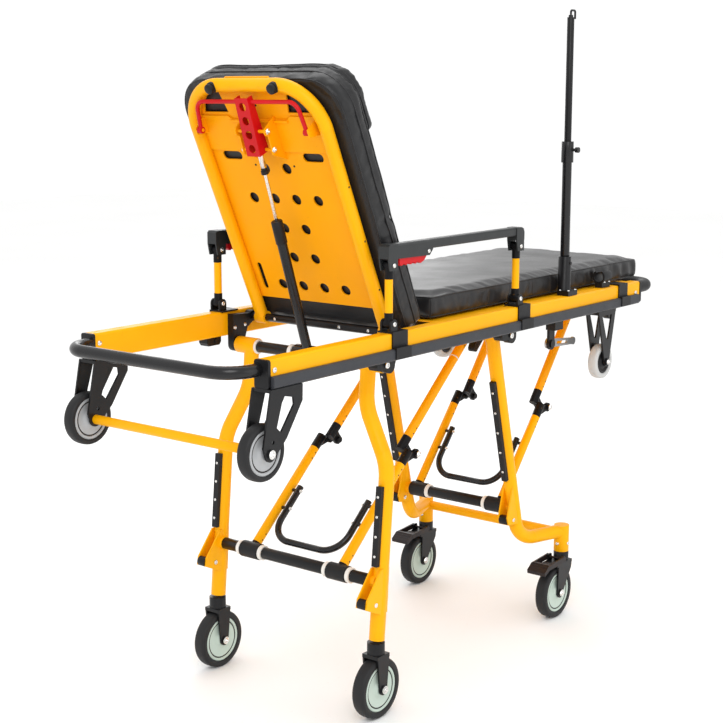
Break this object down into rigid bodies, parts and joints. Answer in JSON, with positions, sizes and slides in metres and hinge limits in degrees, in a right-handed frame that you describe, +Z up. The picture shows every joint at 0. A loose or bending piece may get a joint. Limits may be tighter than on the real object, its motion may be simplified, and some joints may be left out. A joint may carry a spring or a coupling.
{
  "type": "stretcher trolley",
  "caption": "Wheeled ambulance stretcher with folding legs, loading wheels, tilting backrest, folding armrests, vinyl cushions and an infusion pole.",
  "frame": {"origin": "middle of the trolley's bounding box, on the floor", "axes": "+X along the trolley toward the foot end, +Y toward the patient's left, +Z up"},
  "size_m": [1.8702, 0.606, 1.6991],
  "materials": {
    "yellow_paint": "gloss",
    "black_metal": "satin",
    "black_plastic": "matte",
    "black_vinyl": "satin",
    "red_paint": "gloss",
    "bright_steel": "polished",
    "grey_steel": "satin",
    "wheel_rubber": "matte",
    "pale_rubber": "satin",
    "pedal_plastic": "matte"
  },
  "bodies": {
    "base": {"side_rail_left": "yellow_paint", "side_rail_right": "yellow_paint", "rail_bumpers": "black_plastic", "rail_castings": "black_metal", "pivot_castings": "black_metal", "pivot_tubes": "black_metal", "backrest_hinge_tube": "black_metal", "head_handle": "black_metal", "foot_handle": "black_metal", "loading_crossbar": "yellow_paint", "loading_wheel_brackets": "black_metal", "aux_wheel_forks": "black_metal", "leg_deck": "yellow_paint", "leg_mattress": "black_vinyl", "pole_socket": "black_metal", "pole_outer_tube": "black_metal", "pole_clip": "black_plastic", "release_bracket": "black_metal"},
    "backrest": {"backrest_frame": "yellow_paint", "backrest_panel": "yellow_paint", "backrest_mattress": "black_vinyl", "backrest_knobs": "black_plastic"},
    "release_handle": {"backrest_release_handle": "red_paint"},
    "gas_cylinder": {"gas_spring_cylinder": "black_metal"},
    "gas_rod": {"gas_spring_rod": "bright_steel"},
    "front_legs": {"front_leg_frame": "yellow_paint", "front_lower_tube": "black_metal", "front_buffer_strips": "black_plastic", "front_castor_forks": "black_metal"},
    "front_wheel_l": {"front_wheel_left": "wheel_rubber"},
    "front_wheel_r": {"front_wheel_right": "wheel_rubber"},
    "front_lower_stay": {"front_lower_stays": "yellow_paint", "front_hoop": "black_metal"},
    "front_upper_stay": {"front_upper_stays": "yellow_paint"},
    "rear_legs": {"rear_leg_frame": "yellow_paint", "rear_lower_tube": "black_metal", "rear_buffer_strips": "black_plastic"},
    "rear_lower_stay": {"rear_lower_stays": "yellow_paint", "rear_hoop": "black_metal"},
    "rear_upper_stay": {"rear_upper_stays": "yellow_paint"},
    "pole_slider": {"pole_inner_tube": "black_metal"},
    "fold_release": {"release_lever": "grey_steel"},
    "rear_castor_l": {"rear_castor_left": "black_metal"},
    "rear_wheel_l": {"rear_wheel_left": "wheel_rubber"},
    "brake_l": {"brake_pedal_left": "pedal_plastic"},
    "loading_wheel_l": {"loading_wheel_left": "wheel_rubber"},
    "aux_wheel_l": {"aux_wheel_left": "pale_rubber"},
    "arm_head_post_l": {"armrest_left_head_post": "yellow_paint"},
    "arm_foot_post_l": {"armrest_left_foot_post": "yellow_paint"},
    "arm_grip_l": {"armrest_left_grip": "black_plastic"},
    "arm_lever_l": {"armrest_left_lever": "red_paint"},
    "rear_castor_r": {"rear_castor_right": "black_metal"},
    "rear_wheel_r": {"rear_wheel_right": "wheel_rubber"},
    "brake_r": {"brake_pedal_right": "pedal_plastic"},
    "loading_wheel_r": {"loading_wheel_right": "wheel_rubber"},
    "aux_wheel_r": {"aux_wheel_right": "pale_rubber"},
    "arm_head_post_r": {"armrest_right_head_post": "yellow_paint"},
    "arm_foot_post_r": {"armrest_right_foot_post": "yellow_paint"},
    "arm_grip_r": {"armrest_right_grip": "black_plastic"},
    "arm_lever_r": {"armrest_right_lever": "red_paint"}
  },
  "joints": [
    {"name": "backrest_tilt", "type": "hinge", "parent": "base", "child": "backrest", "pos_m": [-0.3145, 0, 0.9185], "axis": [0, 1, 0], "range_deg": [-58.7, 8]},
    {"name": "release_squeeze", "type": "hinge", "parent": "backrest", "child": "release_handle", "pos_m": [-0.5619, 0, 1.3957], "axis": [0, 1, 0], "range_deg": [0, 7], "stiffness_Nm_per_rad": 3, "springref_deg": -5.73},
    {"name": "gas_spring_swing", "type": "hinge", "parent": "base", "child": "gas_cylinder", "pos_m": [-0.37, 0, 0.852], "axis": [0, 1, 0], "range_deg": [-58.6, 8.2]},
    {"name": "gas_spring_stroke", "type": "slide", "parent": "gas_cylinder", "child": "gas_rod", "axis": [-0.3199, 0, 0.9475], "range_m": [-0.0865, 0.0125]},
    {"name": "front_leg_fold", "type": "hinge", "parent": "base", "child": "front_legs", "pos_m": [-0.37, 0, 0.852], "axis": [0, -1, 0], "range_deg": [0, 80]},
    {"name": "front_lower_stay_turn", "type": "hinge", "parent": "front_legs", "child": "front_lower_stay", "pos_m": [-0.428, 0, 0.337], "axis": [0, -1, 0], "range_deg": [0, 40.8]},
    {"name": "front_upper_stay_turn", "type": "hinge", "parent": "base", "child": "front_upper_stay", "pos_m": [0.162, 0, 0.852], "axis": [0, -1, 0], "range_deg": [-45.6, 0]},
    {"name": "rear_leg_fold", "type": "hinge", "parent": "base", "child": "rear_legs", "pos_m": [0.162, 0, 0.852], "axis": [0, -1, 0], "range_deg": [0, 54]},
    {"name": "rear_lower_stay_turn", "type": "hinge", "parent": "rear_legs", "child": "rear_lower_stay", "pos_m": [0.282, 0, 0.345], "axis": [0, -1, 0], "range_deg": [0, 41.8]},
    {"name": "rear_upper_stay_turn", "type": "hinge", "parent": "base", "child": "rear_upper_stay", "pos_m": [0.695, 0, 0.852], "axis": [0, -1, 0], "range_deg": [-62.3, 0]},
    {"name": "front_wheel_left_spin", "type": "hinge", "parent": "front_legs", "child": "front_wheel_l", "pos_m": [-0.435, 0.261, 0.075], "axis": [0, 1, 0], "continuous": true},
    {"name": "rear_castor_left_swivel", "type": "hinge", "parent": "rear_legs", "child": "rear_castor_l", "pos_m": [0.4645, 0.239, 0.18], "axis": [0, 0, 1], "continuous": true},
    {"name": "rear_wheel_left_spin", "type": "hinge", "parent": "rear_castor_l", "child": "rear_wheel_l", "pos_m": [0.4265, 0.239, 0.075], "axis": [0, 1, 0], "continuous": true},
    {"name": "brake_pedal_left_press", "type": "hinge", "parent": "rear_castor_l", "child": "brake_l", "pos_m": [0.4365, 0.239, 0.172], "axis": [0, -1, 0], "range_deg": [0, 8]},
    {"name": "loading_wheel_left_spin", "type": "hinge", "parent": "base", "child": "loading_wheel_l", "pos_m": [-0.846, 0.271, 0.738], "axis": [0, 1, 0], "continuous": true},
    {"name": "aux_wheel_left_spin", "type": "hinge", "parent": "base", "child": "aux_wheel_l", "pos_m": [0.598, 0.273, 0.725], "axis": [0, 1, 0], "continuous": true},
    {"name": "armrest_left_fold", "type": "hinge", "parent": "base", "child": "arm_head_post_l", "pos_m": [-0.402, 0.271, 0.957], "axis": [0, 1, 0], "range_deg": [0, 80]},
    {"name": "armrest_left_foot_post_turn", "type": "hinge", "parent": "base", "child": "arm_foot_post_l", "pos_m": [0.141, 0.271, 0.957], "axis": [0, 1, 0], "range_deg": [0, 80.1]},
    {"name": "armrest_left_grip_turn", "type": "hinge", "parent": "arm_head_post_l", "child": "arm_grip_l", "pos_m": [-0.402, 0.271, 1.093], "axis": [0, 1, 0], "range_deg": [-80.1, 0]},
    {"name": "armrest_left_lever_squeeze", "type": "hinge", "parent": "arm_grip_l", "child": "arm_lever_l", "pos_m": [-0.263, 0.271, 1.115], "axis": [0, 1, 0], "range_deg": [0, 5], "stiffness_Nm_per_rad": 1, "springref_deg": -8.59},
    {"name": "front_wheel_right_spin", "type": "hinge", "parent": "front_legs", "child": "front_wheel_r", "pos_m": [-0.435, -0.261, 0.075], "axis": [0, 1, 0], "continuous": true},
    {"name": "rear_castor_right_swivel", "type": "hinge", "parent": "rear_legs", "child": "rear_castor_r", "pos_m": [0.4645, -0.239, 0.18], "axis": [0, 0, 1], "continuous": true},
    {"name": "rear_wheel_right_spin", "type": "hinge", "parent": "rear_castor_r", "child": "rear_wheel_r", "pos_m": [0.4265, -0.239, 0.075], "axis": [0, 1, 0], "continuous": true},
    {"name": "brake_pedal_right_press", "type": "hinge", "parent": "rear_castor_r", "child": "brake_r", "pos_m": [0.4365, -0.239, 0.172], "axis": [0, -1, 0], "range_deg": [0, 8]},
    {"name": "loading_wheel_right_spin", "type": "hinge", "parent": "base", "child": "loading_wheel_r", "pos_m": [-0.846, -0.271, 0.738], "axis": [0, 1, 0], "continuous": true},
    {"name": "aux_wheel_right_spin", "type": "hinge", "parent": "base", "child": "aux_wheel_r", "pos_m": [0.598, -0.273, 0.725], "axis": [0, 1, 0], "continuous": true},
    {"name": "armrest_right_fold", "type": "hinge", "parent": "base", "child": "arm_head_post_r", "pos_m": [-0.402, -0.271, 0.957], "axis": [0, 1, 0], "range_deg": [0, 80]},
    {"name": "armrest_right_foot_post_turn", "type": "hinge", "parent": "base", "child": "arm_foot_post_r", "pos_m": [0.141, -0.271, 0.957], "axis": [0, 1, 0], "range_deg": [0, 80.1]},
    {"name": "armrest_right_grip_turn", "type": "hinge", "parent": "arm_head_post_r", "child": "arm_grip_r", "pos_m": [-0.402, -0.271, 1.093], "axis": [0, 1, 0], "range_deg": [-80.1, 0]},
    {"name": "armrest_right_lever_squeeze", "type": "hinge", "parent": "arm_grip_r", "child": "arm_lever_r", "pos_m": [-0.263, -0.271, 1.115], "axis": [0, 1, 0], "range_deg": [0, 5], "stiffness_Nm_per_rad": 1, "springref_deg": -8.59},
    {"name": "pole_slide", "type": "slide", "parent": "base", "child": "pole_slider", "axis": [0, 0, -1], "range_m": [0, 0.27]},
    {"name": "fold_release_lift", "type": "hinge", "parent": "base", "child": "fold_release", "pos_m": [0.401, -0.218, 0.797], "axis": [0, -1, 0], "range_deg": [0, 20]}
  ],
  "couplings": [
    {"joint": "gas_spring_swing", "follows": "backrest_tilt", "ratio": 0.9931},
    {"joint": "gas_spring_stroke", "follows": "backrest_tilt", "m_per_rad": 0.0828},
    {"joint": "front_lower_stay_turn", "follows": "front_leg_fold", "ratio": 0.5065},
    {"joint": "front_upper_stay_turn", "follows": "front_leg_fold", "ratio": -0.5675},
    {"joint": "rear_lower_stay_turn", "follows": "rear_leg_fold", "ratio": 0.7717},
    {"joint": "rear_upper_stay_turn", "follows": "rear_leg_fold", "ratio": -1.1498},
    {"joint": "armrest_left_foot_post_turn", "follows": "armrest_left_fold", "ratio": 1},
    {"joint": "armrest_left_grip_turn", "follows": "armrest_left_fold", "ratio": -1},
    {"joint": "armrest_right_foot_post_turn", "follows": "armrest_right_fold", "ratio": 1},
    {"joint": "armrest_right_grip_turn", "follows": "armrest_right_fold", "ratio": -1}
  ]
}
